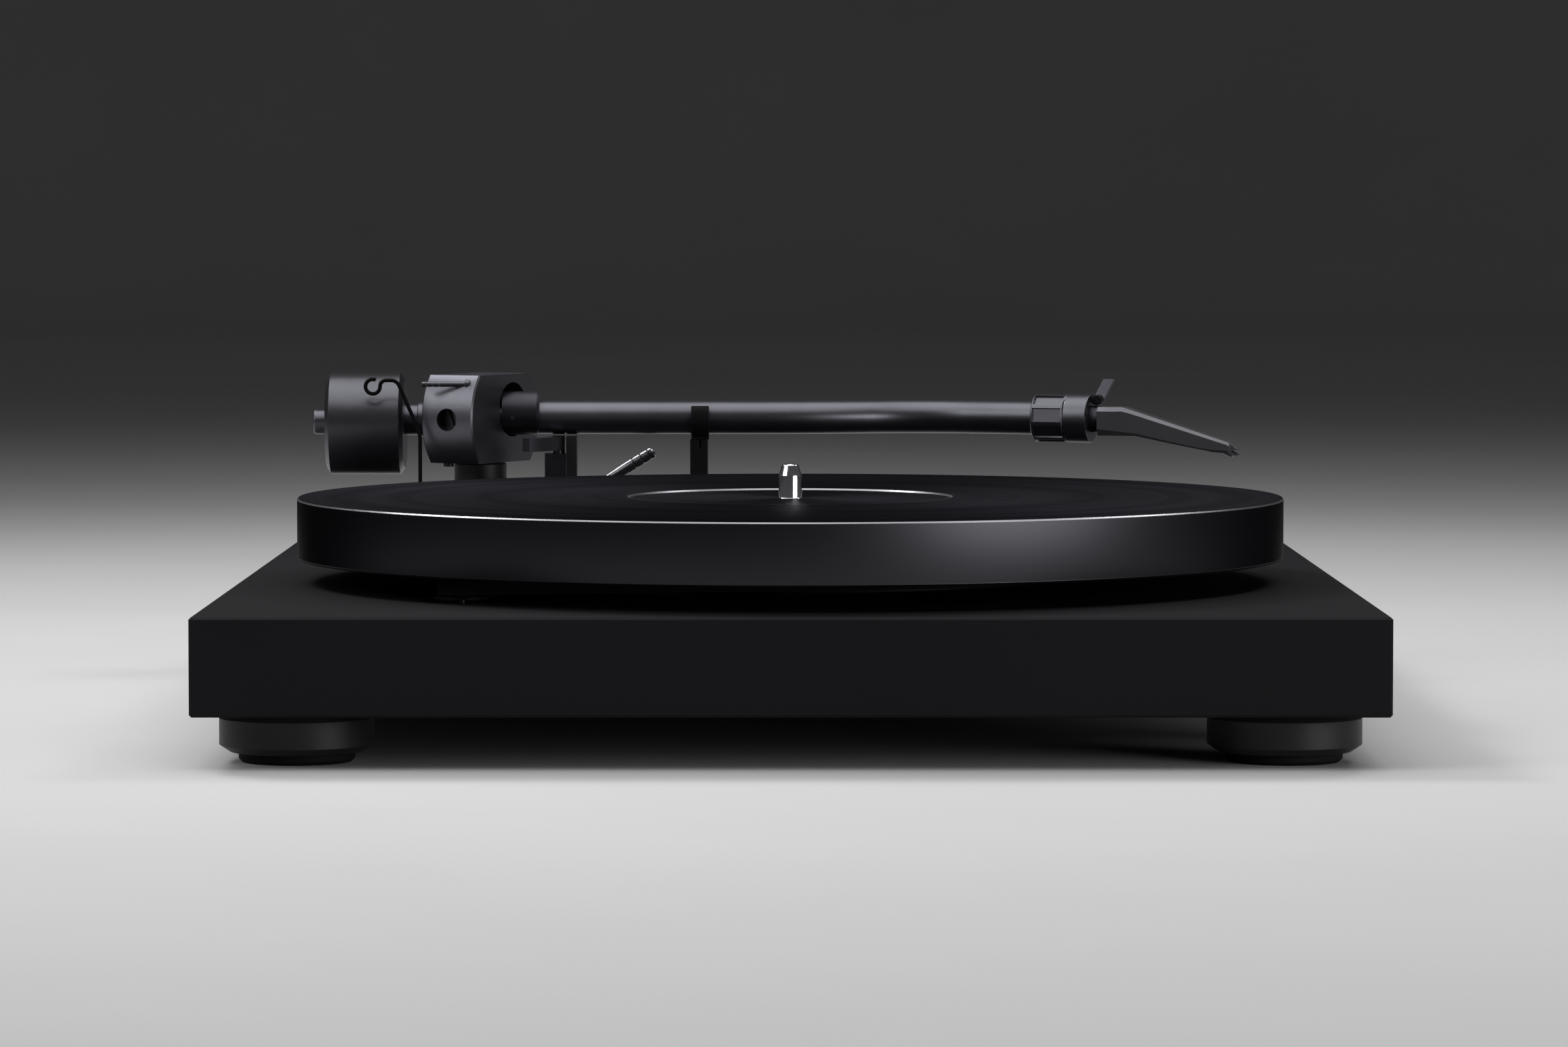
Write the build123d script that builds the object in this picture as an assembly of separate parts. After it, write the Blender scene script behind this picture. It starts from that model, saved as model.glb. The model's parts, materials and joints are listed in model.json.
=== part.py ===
from build123d import *
import os
from math import cos, sin, tan, radians

# Belt-drive record player with a ten-inch S-shaped tonearm.
# Millimetres, +Z up. X runs to the right, Y to the back. The origin is on the surface that
# the feet stand on, below the middle of the plinth.

# ---------------------------------------------------------------- driving dimensions
PLINTH_WIDTH = 415.0
PLINTH_DEPTH = 335.0
PLINTH_THICK = 28.0
PLINTH_BEVEL = 0.7
FOOT_HEIGHT = 15.0
FOOT_SPACING = (350.0, 280.0)
PAD_HEIGHT = 3.0
PLINTH_BASE = FOOT_HEIGHT
DECK = FOOT_HEIGHT + PLINTH_THICK  # top face of the plinth

SPINDLE_X, SPINDLE_Y = -42.5, 0.0  # 165 mm in from the left edge
PLATTER_RADIUS = 150.0
PLATTER_THICK = 18.25
PLATTER_GAP = 7.3  # plinth to platter
PLATTER_BASE = DECK + PLATTER_GAP
PLATTER_TOP = PLATTER_BASE + PLATTER_THICK
LABEL_RADIUS = 49.0
LABEL_DEPTH = 0.5
SUB_PLATTER_RADIUS = 82.5
SUB_PLATTER_LIFT = 1.0
SPINDLE_RADIUS = 3.55  # above the label recess, where the record sits
SEAT_RADIUS = 4.0  # inside the platter
SHAFT_RADIUS = 5.0  # below the platter, in the bearing
RUNNING_FIT = 0.03

PULLEY_X, PULLEY_Y = SPINDLE_X - 95.0, SPINDLE_Y + 95.0
PULLEY_RADIUS = 6.3
MOTOR_RADIUS = 25.0
MOTOR_POCKET_RADIUS = 26.0
MOTOR_WEB = 4.0  # wood left above the motor
BELT_THICK = 0.8
BELT_HEIGHT = 4.0
BELT_CLEAR = 0.3

PIVOT_X, PIVOT_Y = SPINDLE_X + 213.0, 105.2  # vertical axis of the tonearm
OFFSET_ANGLE = 27.0  # gimbal ring, turned towards the platter
HEAD_ANGLE = 20.0  # cartridge end of the tube, turned towards the platter
RING_RADIUS = 23.0
RING_LENGTH = 19.7
RING_FLAT = 14.9  # half the height between the ring's two flats
RING_CHAMBER = 11.0  # radius of the hollow in the middle of the ring
RING_WEB = 3.3  # thickness of the ring's two end walls
RING_Z = DECK + 41.7
PILLAR_RADIUS = 8.85
PILLAR_TOP = RING_Z - RING_FLAT - 0.3
PIVOT_HOLE_RADIUS = 3.8

TUBE_RADIUS = 5.65
TUBE_WALL = 0.9
TUBE_Z = DECK + 41.8
TUBE_BACK_Y = 93.0
COLLAR_RADIUS = 7.4
COLLAR_Z = DECK + 43.3
COLLAR_BACK_Y, COLLAR_FRONT_Y = 97.6, 85.0
SHAFT_Z = DECK + 41.1
REAR_SHAFT_RADIUS = 5.3
WEIGHT_RADIUS = 17.3
WEIGHT_Z = DECK + 39.8
WEIGHT_FRONT_Y, WEIGHT_BACK_Y = 130.8, 157.2

HEAD_START_Y = -83.9  # back of the locking ring
KNURL_RADIUS = 8.1
KNURL_LENGTH = 11.4
SOCKET_RADIUS = 8.15
SOCKET_START, SOCKET_END = 11.5, 19.6  # along the head axis, from the back of the locking ring

REST_Y = 30.4
REST_WIDTH = 6.0
REST_POST_TOP = DECK + 34.4
LIFT_RADIUS = 26.7  # pivot to the middle of the lift bar
LIFT_BAR_WIDTH = 4.0
LIFT_PISTON_Y = PIVOT_Y - 25.5
LIFT_PISTON_WIDTH = 7.0
LEVER_ANGLE = 31.0
LEVER_Y, LEVER_Z = 71.7, DECK + 14.7  # axle of the lift lever
LEVER_AXLE_RADIUS = 1.5
WIRE_RADIUS = 0.65
WIRE_X = PIVOT_X - 19.0

BOARD_X, BOARD_Y = 60.0, 70.0
SWITCH_X, SWITCH_Y, SWITCH_Z = -120.0, -156.0, 10.0  # axle of the speed rocker
CONNECTOR_X = 98.0
CONNECTOR_Y = 150.0  # rear face of the connector bracket
CONNECTOR_Z = 8.2

BOTTOM = (Align.CENTER, Align.CENTER, Align.MIN)
UP, DOWN, BACK, FRONT = (0, 0, 1), (0, 0, -1), (0, 1, 0), (0, -1, 0)
OFFSET, HEAD = radians(OFFSET_ANGLE), radians(HEAD_ANGLE)
RING_AXIS = Vector(-sin(OFFSET), -cos(OFFSET), 0)  # forwards, through the ring
PITCH_AXIS = Vector(-cos(OFFSET), sin(OFFSET), 0)  # across the ring, towards the platter
HEAD_AXIS = Vector(-sin(HEAD), -cos(HEAD), 0)
HEAD_SIDE = Vector(cos(HEAD), -sin(HEAD), 0)  # away from the platter
PIVOT = Vector(PIVOT_X, PIVOT_Y, RING_Z)

parts = {}


# ---------------------------------------------------------------- helpers
def rod(radius, length, at, axis=UP):
    """A cylinder that starts at a point and runs along an axis."""
    return Plane(origin=at, z_dir=axis) * Cylinder(radius, length, align=BOTTOM)


def block(width, depth, height, at):
    """A box that stands on a point."""
    return Pos(*at) * Box(width, depth, height, align=BOTTOM)


def lathe(points, at=(0, 0, 0), axis=UP):
    """A turned part: (radius, distance along the axis) points, turned about the axis."""
    outline = make_face(Plane.XZ * Polyline(*points, close=True))
    return Plane(origin=at, z_dir=axis) * revolve(outline, Axis.Z)


def tube_of(outer, inner, low, high, at=(0, 0, 0), axis=UP):
    """A plain sleeve."""
    return lathe([(inner, low), (outer, low), (outer, high), (inner, high)], at, axis)


def slotted_head(radius, length, slot, at, axis, across):
    """A grub screw with a screwdriver slot in its outer end."""
    end = Vector(*at) + Vector(*axis) * length
    cutter = Plane(origin=end, x_dir=across, z_dir=axis) * Box(4 * radius, slot, 2 * slot)
    return rod(radius, length, at, axis) - cutter


# ---------------------------------------------------------------- plinth and feet
def foot_places():
    """Centres of the four feet."""
    half_x, half_y = FOOT_SPACING[0] / 2, FOOT_SPACING[1] / 2
    return [(x, y) for y in (-half_y, half_y) for x in (-half_x, half_x)]


def make_plinth():
    body = Box(PLINTH_WIDTH, PLINTH_DEPTH, PLINTH_THICK, align=BOTTOM)
    body = chamfer(body.edges(), PLINTH_BEVEL)
    body = Pos(0, 0, PLINTH_BASE) * body
    body -= rod(11.0, PLINTH_THICK, (SPINDLE_X, SPINDLE_Y, PLINTH_BASE))
    body -= rod(20.0, 3.0, (SPINDLE_X, SPINDLE_Y, DECK - 3.0))
    body -= rod(MOTOR_POCKET_RADIUS, PLINTH_THICK - MOTOR_WEB, (PULLEY_X, PULLEY_Y, PLINTH_BASE))
    body -= rod(12.0, PLINTH_THICK, (PULLEY_X, PULLEY_Y, PLINTH_BASE))
    for x, y in foot_places():
        body -= rod(3.0, 10.0, (x, y, PLINTH_BASE))
    body -= block(72, 46, 18, (BOARD_X, BOARD_Y, PLINTH_BASE))
    parts["plinth"] = body


def make_feet():
    foot = [(0, PAD_HEIGHT), (19, PAD_HEIGHT), (22, PAD_HEIGHT + 2), (22, FOOT_HEIGHT - 2.5)]
    foot += [(20.5, FOOT_HEIGHT), (3, FOOT_HEIGHT), (3, FOOT_HEIGHT + 9.5), (0, FOOT_HEIGHT + 9.5)]
    pad = [(0, 0), (15.5, 0), (16.5, 1), (16.5, PAD_HEIGHT), (0, PAD_HEIGHT)]
    for number, (x, y) in enumerate(foot_places(), 1):
        parts[f"foot_{number}"] = lathe(foot, (x, y, 0))
        parts[f"foot_pad_{number}"] = lathe(pad, (x, y, 0))


# ---------------------------------------------------------------- platter, bearing and drive
def make_bearing():
    at = (SPINDLE_X, SPINDLE_Y, DECK)
    bore = SHAFT_RADIUS + RUNNING_FIT
    housing = [(bore, -24), (11, -24), (11, -3), (20, -3), (20, 0), (bore, 0)]
    parts["bearing_housing"] = lathe(housing, at)
    ball_radius = 3.0
    ball = Pos(SPINDLE_X, SPINDLE_Y, DECK - 18.1 - ball_radius) * Sphere(ball_radius)
    cap = lathe([(0, -27), (11, -27), (11, -24), (bore, -24), (bore, -21.8), (0, -21.8)], at)
    parts["bearing_cap"] = cap - ball
    parts["thrust_ball"] = ball


def make_platter():
    at = (SPINDLE_X, SPINDLE_Y, PLATTER_BASE)
    hole = SEAT_RADIUS + 0.05
    rim, top = PLATTER_RADIUS, PLATTER_THICK
    profile = [(hole, 0), (rim - 0.6, 0), (rim, 0.6), (rim, top - 0.5), (rim - 0.5, top)]
    profile += [(LABEL_RADIUS + 0.4, top), (LABEL_RADIUS, top - LABEL_DEPTH), (hole, top - LABEL_DEPTH)]
    parts["platter"] = lathe(profile, at)
    low = SUB_PLATTER_LIFT - PLATTER_GAP
    crown = [(SHAFT_RADIUS, low), (SUB_PLATTER_RADIUS - 0.4, low), (SUB_PLATTER_RADIUS, low + 0.4)]
    crown += [(SUB_PLATTER_RADIUS, -0.4), (SUB_PLATTER_RADIUS - 0.4, 0), (SHAFT_RADIUS, 0)]
    parts["sub_platter"] = lathe(crown, at)


def make_spindle():
    at = (SPINDLE_X, SPINDLE_Y, PLATTER_TOP)
    shoulder, seat_top = -PLATTER_THICK, -LABEL_DEPTH
    foot = DECK - 18.0 - PLATTER_TOP
    profile = [(0, foot), (SHAFT_RADIUS - 1, foot), (SHAFT_RADIUS, foot + 1), (SHAFT_RADIUS, shoulder)]
    profile += [(SEAT_RADIUS, shoulder), (SEAT_RADIUS, seat_top), (SPINDLE_RADIUS, seat_top)]
    profile += [(SPINDLE_RADIUS, 6.3), (2.6, 9.4), (1.6, 9.8), (0, 9.9)]
    parts["spindle"] = lathe(profile, at)


def make_motor():
    top = DECK - MOTOR_WEB
    centre = (PULLEY_X, PULLEY_Y, 0)
    profile = [(1.05, 16.5), (MOTOR_RADIUS - 1, 16.5), (MOTOR_RADIUS, 17.5), (MOTOR_RADIUS, top)]
    profile += [(8, top), (8, top + 1.5), (1.05, top + 1.5)]
    parts["motor_body"] = lathe(profile, centre)
    parts["motor_cover"] = lathe([(0, 13.3), (30.3, 13.3), (31, 14), (31, 15), (0, 15)], centre)


def make_pulley():
    centre = (PULLEY_X, PULLEY_Y, DECK)
    shaft_radius = 1.0
    parts["motor_shaft"] = rod(shaft_radius, 10.5, (PULLEY_X, PULLEY_Y, DECK - 4.2))
    flange = PULLEY_RADIUS + 1.8
    profile = [(shaft_radius, 0.6), (flange, 0.6), (flange, 1.3), (PULLEY_RADIUS, 1.9)]
    profile += [(PULLEY_RADIUS, 6.1), (flange, 6.5), (flange, 6.9), (shaft_radius, 6.9)]
    parts["pulley"] = lathe(profile, centre)


def belt_outline(margin):
    """A loop round the sub-platter and the pulley."""
    rims = [Pos(SPINDLE_X, SPINDLE_Y) * Circle(SUB_PLATTER_RADIUS + margin),
            Pos(PULLEY_X, PULLEY_Y) * Circle(PULLEY_RADIUS + margin)]
    return make_hull([edge for rim in rims for edge in rim.edges()])


def make_belt():
    ring = belt_outline(BELT_CLEAR + BELT_THICK) - belt_outline(BELT_CLEAR)
    parts["belt"] = Pos(0, 0, DECK + 2.0) * extrude(ring, BELT_HEIGHT)


# ---------------------------------------------------------------- electrics below the plinth
def make_electronics():
    cover = block(84, 58, 1.5, (BOARD_X, BOARD_Y, PLINTH_BASE - 1.5))
    board = block(66, 40, 1.6, (BOARD_X, BOARD_Y, PLINTH_BASE + 7))
    for x in (-28, 28):
        for y in (-16, 16):
            cover += rod(2.5, 7, (BOARD_X + x, BOARD_Y + y, PLINTH_BASE))
    for x, y, width, depth, height in ((-20, 0, 10, 10, 2), (2, 6, 14, 8, 3), (20, -6, 9, 9, 7)):
        board += block(width, depth, height, (BOARD_X + x, BOARD_Y + y, PLINTH_BASE + 8.6))
    parts["board_cover"] = cover
    parts["control_board"] = board


def make_connectors():
    plate = block(84, 1.5, 13, (CONNECTOR_X, CONNECTOR_Y - 0.75, 2))
    plate += block(84, 18, 1.5, (CONNECTOR_X, CONNECTOR_Y - 9, PLINTH_BASE - 1.5))
    for name, x in (("line_out_left", CONNECTOR_X - 30), ("line_out_right", CONNECTOR_X - 12)):
        at = (x, CONNECTOR_Y, CONNECTOR_Z)
        profile = [(0, -9), (4.9, -9), (4.9, -1.5), (4.15, -1.5), (4.15, 0), (5.9, 0), (5.9, 1.6)]
        profile += [(4.15, 1.6), (4.15, 10), (1.6, 10), (1.6, 2), (0, 2)]
        parts[name] = lathe(profile, at, BACK)
        plate -= rod(4.15, 4, (x, CONNECTOR_Y - 3, CONNECTOR_Z), BACK)
    post_x, inlet_x = CONNECTOR_X + 6, CONNECTOR_X + 28
    profile = [(0, -7), (2, -7), (2, 1), (3.4, 1), (3.4, 2), (4.6, 2.6), (4.6, 7), (4, 7.6), (0, 7.6)]
    parts["ground_post"] = lathe(profile, (post_x, CONNECTOR_Y, CONNECTOR_Z), BACK)
    plate -= rod(2.0, 4, (post_x, CONNECTOR_Y - 3, CONNECTOR_Z), BACK)
    inlet = block(9, 11, 10, (inlet_x, CONNECTOR_Y - 7, CONNECTOR_Z - 5))
    inlet += rod(4.2, 3, (inlet_x, CONNECTOR_Y - 1.5, CONNECTOR_Z), BACK)
    inlet -= rod(2.75, 9, (inlet_x, CONNECTOR_Y - 7, CONNECTOR_Z), BACK)
    inlet -= block(20, 1.5, 12, (inlet_x, CONNECTOR_Y - 0.75, CONNECTOR_Z - 6)) - rod(
        4.2, 3, (inlet_x, CONNECTOR_Y - 2, CONNECTOR_Z), BACK)
    parts["power_inlet"] = inlet + rod(1.0, 8, (inlet_x, CONNECTOR_Y - 7, CONNECTOR_Z), BACK)
    plate -= rod(4.2, 4, (inlet_x, CONNECTOR_Y - 3, CONNECTOR_Z), BACK)
    parts["connector_bracket"] = plate


def make_switch():
    housing = block(26, 16, 8, (SWITCH_X, SWITCH_Y, 7))
    housing -= block(20, 10.6, 6, (SWITCH_X, SWITCH_Y, 7))
    housing -= rod(1.05, 20, (SWITCH_X, SWITCH_Y - 10, SWITCH_Z), BACK)
    parts["switch_housing"] = housing
    side = Polyline((-8.6, 6.0), (0, 7.0), (8.6, 6.0), (8.6, 10.6), (-8.6, 10.6), close=True)
    rocker = extrude(make_face(Plane.XZ * side), 5.0, both=True)
    rocker = Pos(SWITCH_X, SWITCH_Y, 0) * rocker
    parts["speed_rocker"] = rocker + rod(1.0, 15, (SWITCH_X, SWITCH_Y - 7.5, SWITCH_Z), BACK)


# ---------------------------------------------------------------- fixed base of the tonearm
def make_arm_base():
    low = Pos(PIVOT_X, PIVOT_Y) * Circle(33.0)
    tail = Pos(PIVOT_X, REST_Y) * Circle(9.0)
    outline = make_hull(list(low.edges()) + list(tail.edges()))
    plate = extrude(outline, 7.0)
    plate = chamfer(plate.edges().group_by(Axis.Z)[-1], 0.8)
    parts["arm_base"] = Pos(0, 0, DECK) * plate


def make_pillar():
    at = (PIVOT_X, PIVOT_Y, 0)
    low, step = DECK + 7, DECK + 18
    pin = 3.0
    bore = pin + RUNNING_FIT
    profile = [(0, low), (15, low), (15, step - 1), (14, step), (PILLAR_RADIUS, step)]
    profile += [(PILLAR_RADIUS, PILLAR_TOP - 0.5), (PILLAR_RADIUS - 0.5, PILLAR_TOP)]
    profile += [(bore, PILLAR_TOP), (bore, low + 1), (0, low + 1)]
    screw_at = Vector(PIVOT_X + 13, PIVOT_Y, DECK + 12.5)
    shank = rod(2.0, 4.0, screw_at, (1, 0, 0))
    parts["arm_pillar"] = lathe(profile, at) - shank
    knob = lathe([(0, 4), (4.2, 4), (4.6, 4.4), (4.6, 8.6), (4.2, 9), (0, 9)], screw_at, (1, 0, 0))
    parts["height_clamp_screw"] = knob + shank
    parts["swing_pin"] = rod(pin, RING_Z - RING_FLAT + 3.0 - (low + 1.3), (PIVOT_X, PIVOT_Y, low + 1.3))


def make_lift():
    plate_front, plate_back = 72.3, 75.9
    floor = DECK + 7
    housing = block(9.6, 11.0, 13.0, (PIVOT_X, LIFT_PISTON_Y, floor))
    housing += block(8.0, plate_back - plate_front, 28.4, (PIVOT_X, (plate_front + plate_back) / 2, floor))
    housing += block(9.0, 9.0, 12.0, (PIVOT_X, LEVER_Y + 0.5, floor))
    bore = LIFT_PISTON_WIDTH + 0.1
    housing -= block(bore, bore, 11.0, (PIVOT_X, LIFT_PISTON_Y, floor + 2))
    housing -= rod(LEVER_AXLE_RADIUS + RUNNING_FIT, 12.0, (PIVOT_X - 6, LEVER_Y, LEVER_Z), (1, 0, 0))
    parts["lift_housing"] = housing
    bar_low, bar_high = 31.0, 35.5
    piston_low, piston_high = 13.5, 29.6
    width, height = LIFT_PISTON_WIDTH, piston_high - piston_low
    piston = block(width, width, height, (PIVOT_X, LIFT_PISTON_Y, DECK + piston_low))
    neck = LIFT_BAR_WIDTH / 2
    piston += rod(neck, bar_high - piston_high, (PIVOT_X, PIVOT_Y - LIFT_RADIUS, DECK + piston_high))
    swept = 61.0
    bar_middle = Pos(LIFT_RADIUS, (bar_low + bar_high) / 2)
    section = Plane.XZ * bar_middle * Rectangle(LIFT_BAR_WIDTH, bar_high - bar_low)
    bar = revolve(section, Axis.Z, revolution_arc=swept)
    bar_start = -90 + 9 - swept
    parts["lift_bar"] = piston + Pos(PIVOT_X, PIVOT_Y, DECK) * Rot(0, 0, bar_start) * bar


def make_lever():
    """A tapered stem with a thicker grooved grip, on an axle through the lift housing."""
    lean = radians(LEVER_ANGLE)
    along = Vector(0, -cos(lean), sin(lean))
    hub_at = Vector(PIVOT_X + 5.0, LEVER_Y, LEVER_Z)
    lever = rod(LEVER_AXLE_RADIUS, 11.0, (PIVOT_X - 5.5, LEVER_Y, LEVER_Z), (1, 0, 0))
    lever += rod(3.4, 4.4, hub_at, (1, 0, 0))
    stem, grip, groove, end = 1.2, 2.0, 0.3, 29.6
    profile = [(0, 1), (stem, 1), (stem, 6), (grip, 19.5)]
    for at in (21.5, 24.5, 27.4):
        profile += [(grip, at), (grip - groove, at + groove), (grip, at + 2 * groove)]
    profile += [(grip, end - 0.6), (grip - 0.6, end), (0, end)]
    parts["lift_lever"] = lever + lathe(profile, hub_at + Vector(2.2, 0, 0), along)


def make_arm_rest():
    post = block(7.0, REST_WIDTH, REST_POST_TOP - DECK - 7, (PIVOT_X, REST_Y + 0.4, DECK + 7))
    post -= block(2.0, 0.6, 3.0, (PIVOT_X - 3.5, REST_Y, REST_POST_TOP - 3.0))
    parts["rest_post"] = post
    inner = TUBE_RADIUS + 0.2
    clip = tube_of(inner + 1.5, inner, -REST_WIDTH / 2, REST_WIDTH / 2, (PIVOT_X, REST_Y, TUBE_Z), BACK)
    clip -= block(30, 30, 10, (PIVOT_X, REST_Y, TUBE_Z + 4.1))
    lug = block(7.0, REST_WIDTH, TUBE_Z - inner - 0.5 - REST_POST_TOP, (PIVOT_X, REST_Y, REST_POST_TOP))
    parts["rest_clip"] = clip + lug - rod(inner, 20, (PIVOT_X, REST_Y - 10, TUBE_Z), BACK)


def make_antiskate_wire():
    """A bent wire with an open guide loop at its upper end, fixed in the arm base."""
    loop_y, loop_z, loop_radius = 140.5, 52.9, 2.45
    entry = loop_y - loop_radius
    run_z = loop_z + 2.1
    corners = [(124.6, 3.0), (124.6, 37.0), (132.4, run_z), (entry, run_z), (entry, loop_z)]
    route = FilletPolyline(*corners, radius=[10.0, 3.0, 2.0])
    loop = CenterArc((loop_y, loop_z), loop_radius, 180, 295)
    plane = Plane(origin=(WIRE_X, 0, DECK), x_dir=(0, 1, 0), z_dir=(1, 0, 0))
    path = plane * Wire(list(route.edges()) + list(loop.edges()))
    profile = Plane(origin=path @ 0, z_dir=path % 0) * Circle(WIRE_RADIUS)
    parts["antiskate_wire"] = sweep(profile, path=path)
    parts["arm_base"] -= rod(WIRE_RADIUS, 5.0, (WIRE_X, corners[0][0], DECK + corners[0][1]))


# ---------------------------------------------------------------- swinging ring
def ring_point(along, across, height=0.0):
    """A point given in the turned ring's own directions."""
    return PIVOT + RING_AXIS * along + PITCH_AXIS * across + Vector(0, 0, height)


def slot_through(radius, low, high, towards):
    """An upright slot that runs from the pivot to one end of the ring, for the arm to tilt in."""
    reach = 30.0
    middle = PIVOT + Vector(*towards) * (reach / 2)
    cut = Pos(middle.X, middle.Y, middle.Z + (low + high) / 2) * Box(2 * radius, reach, high - low)
    for height in (low, high):
        cut += rod(radius, reach, PIVOT + Vector(0, 0, height), towards)
    return cut


def make_ring():
    half, bevel = RING_LENGTH / 2, 0.5
    profile = [(0, -half), (RING_RADIUS - bevel, -half), (RING_RADIUS, -half + bevel)]
    profile += [(RING_RADIUS, half - bevel), (RING_RADIUS - bevel, half), (0, half)]
    ring = lathe(profile, PIVOT, RING_AXIS)
    ring &= Pos(PIVOT_X, PIVOT_Y, RING_Z) * Box(60, 60, 2 * RING_FLAT)
    ring -= rod(RING_CHAMBER, RING_LENGTH - 2 * RING_WEB, ring_point(RING_WEB - half, 0), RING_AXIS)
    ring -= slot_through(8.0, 1.6, 4.1, FRONT)
    ring -= slot_through(7.6, -3.2, -0.4, BACK)
    ring -= rod(PIVOT_HOLE_RADIUS, 50, ring_point(0, -25), PITCH_AXIS)
    ring -= parts["swing_pin"]
    screw_at = Vector(PIVOT_X - 5.0, PIVOT_Y + 10.6, RING_Z - RING_FLAT - 1.5)
    screw = rod(1.75, 1.5, screw_at) + rod(1.0, 3.5, screw_at)
    stub_at = Vector(PIVOT_X - 19.6, 107.8, DECK + 53.7)
    knuckle, stub_radius = 1.5, 0.9
    profile = [(0, 0), (knuckle, 0), (knuckle, 1.4), (stub_radius, 1.8)]
    for groove in (10.2, 12.4, 14.4):
        profile += [(stub_radius, groove), (stub_radius - 0.2, groove + 0.2), (stub_radius, groove + 0.4)]
    profile += [(stub_radius, 16.0), (stub_radius - 0.3, 16.3), (0, 16.3)]
    stub = lathe(profile, stub_at, BACK)
    parts["bearing_ring"] = ring - screw - stub
    parts["ring_screw"] = screw
    parts["antiskate_stub"] = stub


def make_pitch_bearings():
    for name, side in (("inner", 1), ("outer", -1)):
        axis = PITCH_AXIS * side
        parts[f"pivot_bush_{name}"] = tube_of(PIVOT_HOLE_RADIUS, 1.28, 11.6, 14.9, PIVOT, axis)
        screw = slotted_head(PIVOT_HOLE_RADIUS, 3.4, 0.9, PIVOT + axis * 15.1, axis, (0.3, 0.3, 1))
        parts[f"pivot_screw_{name}"] = screw


# ---------------------------------------------------------------- tonearm
def make_hub():
    axle = rod(1.25, 29.4, ring_point(0, -14.7), PITCH_AXIS)
    hub = rod(5.6, PIVOT_Y + 8.0 - COLLAR_BACK_Y, (PIVOT_X, COLLAR_BACK_Y, RING_Z), BACK)
    parts["arm_hub"] = hub - axle
    parts["pitch_axle"] = axle
    start = PIVOT_Y + 8.0
    profile = [(0, 0), (6.2, 0), (6.2, 124.2 - start), (5.85, 124.2 - start), (5.85, 126.3 - start)]
    profile += [(REAR_SHAFT_RADIUS, 126.3 - start), (REAR_SHAFT_RADIUS, 157.0 - start), (0, 157.0 - start)]
    shaft = lathe(profile, (PIVOT_X, start, SHAFT_Z), BACK)
    end = lathe([(0, 0), (4.2, 0), (4.2, 4.4), (3.8, 4.8), (0, 4.8)], (PIVOT_X, 157.0, SHAFT_Z - 0.8), BACK)
    parts["rear_shaft"] = shaft + end


def make_collar():
    length = COLLAR_BACK_Y - COLLAR_FRONT_Y
    profile = [(0, 0), (COLLAR_RADIUS, 0), (COLLAR_RADIUS, length - 0.8)]
    profile += [(COLLAR_RADIUS - 0.8, length), (0, length)]
    collar = lathe(profile, (PIVOT_X, COLLAR_BACK_Y, COLLAR_Z), FRONT)
    collar -= rod(TUBE_RADIUS, 20, (PIVOT_X, TUBE_BACK_Y, TUBE_Z), FRONT)
    screw_at = Vector(PIVOT_X - TUBE_RADIUS - 0.1, 93.9, DECK + 42.1)
    hole = rod(0.7, 4, screw_at, (-1, 0, 0))
    parts["tube_collar"] = collar - hole
    parts["collar_screw"] = slotted_head(0.7, 1.1, 0.25, screw_at, (-1, 0, 0), (0, 1, 1))


def tube_corners():
    """Corners of the tube's route: straight, a bow away from the platter, then the head's turn."""
    bow = Vector(PIVOT_X + 11.0, -44.0, TUBE_Z)
    reach = (HEAD_START_Y - bow.Y) / HEAD_AXIS.Y
    head_start = bow + HEAD_AXIS * reach
    return Vector(PIVOT_X, TUBE_BACK_Y, TUBE_Z), Vector(PIVOT_X, -8.0, TUBE_Z), bow, head_start


HEAD_START = tube_corners()[-1]


def make_tube():
    back, bend, bow, head_start = tube_corners()
    end = head_start + HEAD_AXIS * (SOCKET_START + 1.7)
    legs = (bow - bend).length
    first_turn = (bend - back).get_angle(bow - bend)
    second_turn = (bow - bend).get_angle(end - bow)
    radii = [0.45 * legs / tan(radians(turn / 2)) for turn in (first_turn, second_turn)]
    path = FilletPolyline(back, bend, bow, end, radius=radii)
    ring = Circle(TUBE_RADIUS) - Circle(TUBE_RADIUS - TUBE_WALL)
    parts["arm_tube"] = sweep(Plane(origin=back, z_dir=FRONT) * ring, path=path)


def make_weight():
    length = WEIGHT_BACK_Y - WEIGHT_FRONT_Y
    radius = WEIGHT_RADIUS
    profile = [(0, 0), (radius - 2.2, 0), (radius, 1.4)]
    profile += [(radius, length - 1.4), (radius - 2.2, length), (0, length)]
    weight = lathe(profile, (PIVOT_X, WEIGHT_FRONT_Y, WEIGHT_Z), BACK)
    bore = REAR_SHAFT_RADIUS + RUNNING_FIT
    weight -= rod(bore, 60, (PIVOT_X, WEIGHT_FRONT_Y - 10, SHAFT_Z), BACK)
    screw_at = Vector(PIVOT_X, (WEIGHT_FRONT_Y + WEIGHT_BACK_Y) / 2, WEIGHT_Z - radius + 1.0)
    weight -= rod(2.0, 12, screw_at - Vector(0, 0, 2), UP)
    parts["counterweight"] = weight
    parts["weight_screw"] = slotted_head(2.0, 8.5, 0.6, screw_at + Vector(0, 0, 8.5), DOWN, (1, 0, 0))


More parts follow.
